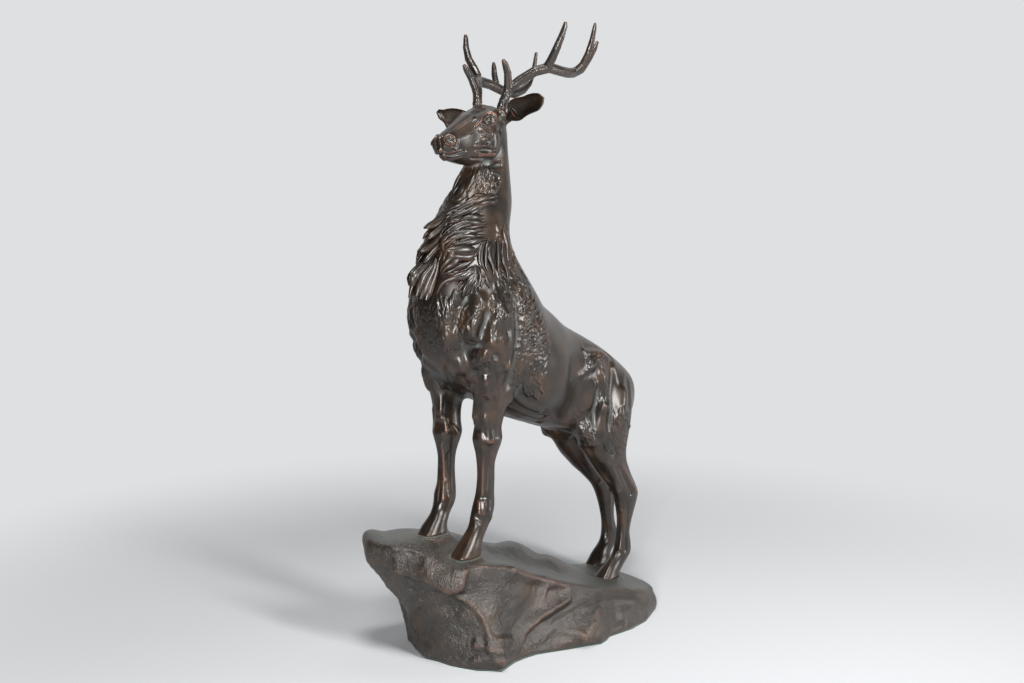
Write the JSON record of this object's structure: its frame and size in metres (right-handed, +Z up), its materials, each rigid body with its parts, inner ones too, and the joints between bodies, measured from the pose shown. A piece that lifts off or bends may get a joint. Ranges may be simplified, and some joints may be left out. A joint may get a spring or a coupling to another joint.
{
  "type": "bronze stag statuette",
  "caption": "Free-standing bronze statuette of a standing antlered stag with a shaggy mane on a sloping hollow rock base, built from separate castings with spigot, pin and stud joints.",
  "frame": {"origin": "on the resting face at the table, under the middle of the stag, between its front and hind hooves", "axes": "+Z up; the stag faces -Y and its left side is +X"},
  "size_m": [0.2309, 0.458, 0.7705],
  "materials": {
    "bronze_stag": "dark brown patinated bronze, glossy wax, copper wear on high edges, pale green in hollows",
    "bronze_antler": "dark brown patinated bronze, smoother and glossier, copper at the tips",
    "bronze_rock": "dark brown patinated bronze, grey-green on the top, rough glossy sides",
    "cover_steel": "plain zinc-plated sheet",
    "fixing_steel": "zinc-plated",
    "pin_brass": "drawn rod",
    "felt": "dark green wool felt"
  },
  "bodies": {
    "root": {"rock_base": "bronze_rock", "base_cover": "cover_steel", "felt_pad": "felt", "cover_screws": "fixing_steel", "torso": "bronze_stag", "neck": "bronze_stag", "head": "bronze_stag", "left_antler": "bronze_antler", "right_antler": "bronze_antler", "left_ear": "bronze_stag", "right_ear": "bronze_stag", "tail": "bronze_stag", "front_left_leg": "bronze_stag", "front_right_leg": "bronze_stag", "hind_left_leg": "bronze_stag", "hind_right_leg": "bronze_stag", "neck_pins": "pin_brass", "head_pins": "pin_brass", "leg_pins": "pin_brass", "hoof_studs": "fixing_steel", "hoof_washers": "fixing_steel", "hoof_nuts": "fixing_steel"}
  },
  "joints": []
}
